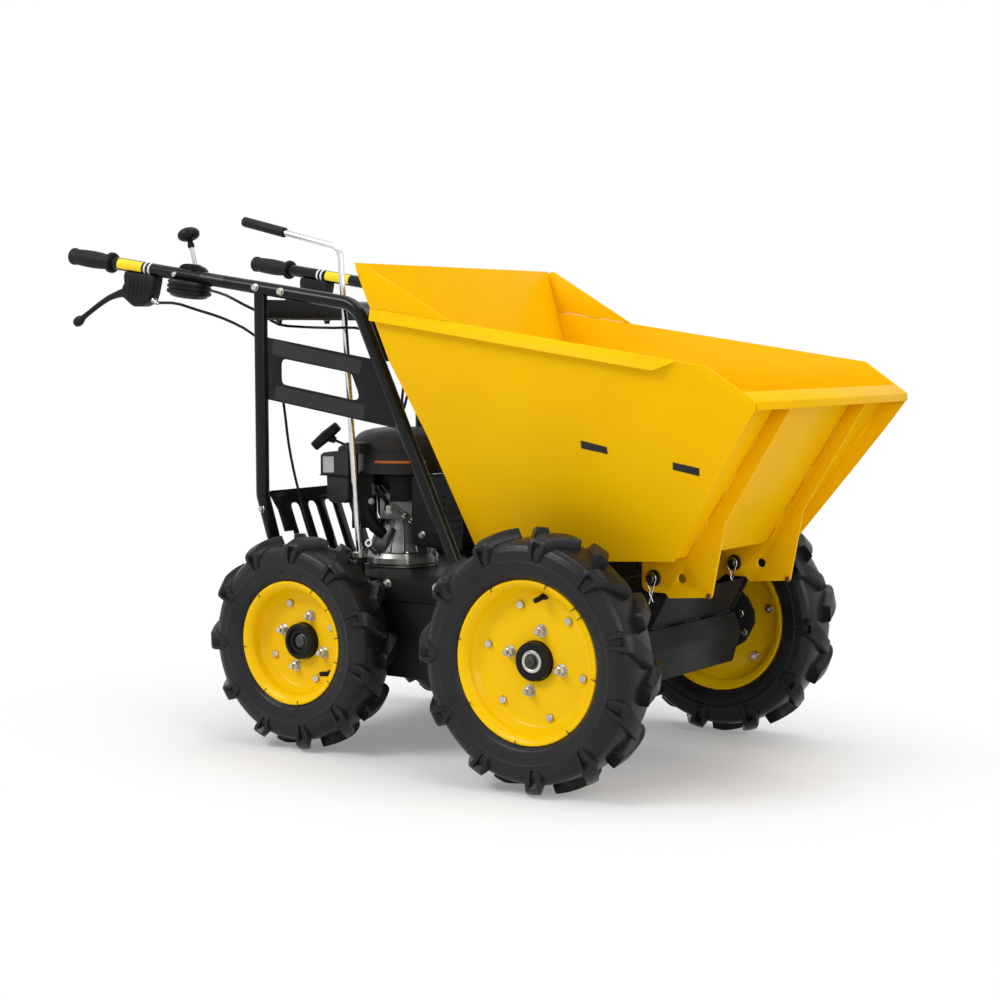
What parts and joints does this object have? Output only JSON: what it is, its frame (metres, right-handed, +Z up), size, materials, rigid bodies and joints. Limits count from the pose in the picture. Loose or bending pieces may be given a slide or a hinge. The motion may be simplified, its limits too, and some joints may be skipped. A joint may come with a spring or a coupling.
{
  "type": "site dumper",
  "caption": "Walk-behind powered dumper with a forward-tipping sheet steel hopper over four lugged wheels, a tube frame with two handles and a small petrol engine behind the load.",
  "frame": {"origin": "middle of the machine's bounding box in plan, on the ground", "axes": "+X forward over the hopper's lip, +Y to the machine's left, +Z up"},
  "size_m": [1.5414, 0.765, 0.9988],
  "materials": {
    "yellow_hopper": "glossy warm yellow powder coat",
    "yellow_rim": "glossy yellow wheel paint",
    "black_frame": "satin black powder coat",
    "black_chassis": "satin black powder coat on welded plate",
    "black_hub": "gloss black",
    "tyre_rubber": "matt black moulded rubber",
    "grip_rubber": "matt black rubber",
    "cable_sheath": "smooth black sheath",
    "dark_plastic": "moulded dark grey plastic",
    "cast_alloy": "as-cast light alloy",
    "chrome": "polished plating",
    "zinc": "zinc plated"
  },
  "bodies": {
    "chassis": {"air_filter": "dark_plastic", "back_plate": "black_frame", "chassis_case": "black_chassis", "clutch_cable": "cable_sheath", "console_panel": "black_frame", "control_box": "dark_plastic", "control_knob": "dark_plastic", "drive_cable": "cable_sheath", "engine_block": "cast_alloy", "engine_cover": "dark_plastic", "engine_deck": "black_chassis", "frame_cross_bar": "black_frame", "frame_left": "black_frame", "frame_right": "black_frame", "front_axle": "black_chassis", "gear_lever": "chrome", "gear_lever_sleeve": "grip_rubber", "gear_lever_socket": "black_frame", "grip_left": "grip_rubber", "grip_right": "grip_rubber", "hand_lever_left": "dark_plastic", "hand_lever_right": "dark_plastic", "handle_left": "black_frame", "handle_right": "black_frame", "lever_housing_left": "dark_plastic", "lever_housing_right": "dark_plastic", "muffler_guard": "black_frame", "pivot_bracket": "black_frame", "pivot_pin_left": "zinc", "pivot_pin_right": "zinc", "rear_guard": "black_frame", "recoil_handle": "dark_plastic", "side_plate_left": "black_frame", "side_plate_right": "black_frame", "throttle_cable": "cable_sheath"},
    "hopper": {"hopper_back": "yellow_hopper", "hopper_bracket_left": "yellow_hopper", "hopper_bracket_right": "yellow_hopper", "hopper_floor": "yellow_hopper", "hopper_front": "yellow_hopper", "hopper_gusset_left": "yellow_hopper", "hopper_gusset_right": "yellow_hopper", "hopper_side_left": "yellow_hopper", "hopper_side_right": "yellow_hopper"},
    "wheel_front_left": {"hub_front_left": "black_hub", "rim_front_left": "yellow_rim", "tyre_front_left": "tyre_rubber"},
    "wheel_front_right": {"hub_front_right": "black_hub", "rim_front_right": "yellow_rim", "tyre_front_right": "tyre_rubber"},
    "wheel_rear_left": {"hub_rear_left": "black_hub", "rim_rear_left": "yellow_rim", "tyre_rear_left": "tyre_rubber"},
    "wheel_rear_right": {"hub_rear_right": "black_hub", "rim_rear_right": "yellow_rim", "tyre_rear_right": "tyre_rubber"}
  },
  "joints": [
    {"name": "wheel_front_left_spin", "type": "hinge", "parent": "chassis", "child": "wheel_front_left", "pos_m": [0.38119, 0.33, 0.225], "axis": [0, 1, 0], "continuous": true},
    {"name": "wheel_front_right_spin", "type": "hinge", "parent": "chassis", "child": "wheel_front_right", "pos_m": [0.38119, -0.33, 0.225], "axis": [0, 1, 0], "continuous": true},
    {"name": "wheel_rear_left_spin", "type": "hinge", "parent": "chassis", "child": "wheel_rear_left", "pos_m": [-0.19481, 0.256, 0.201], "axis": [0, 1, 0], "continuous": true},
    {"name": "wheel_rear_right_spin", "type": "hinge", "parent": "chassis", "child": "wheel_rear_right", "pos_m": [-0.19481, -0.256, 0.201], "axis": [0, 1, 0], "continuous": true},
    {"name": "hopper_tip", "type": "hinge", "parent": "chassis", "child": "hopper", "pos_m": [0.49969, 0, 0.354], "axis": [0, 1, 0], "range_deg": [0, 75]}
  ]
}
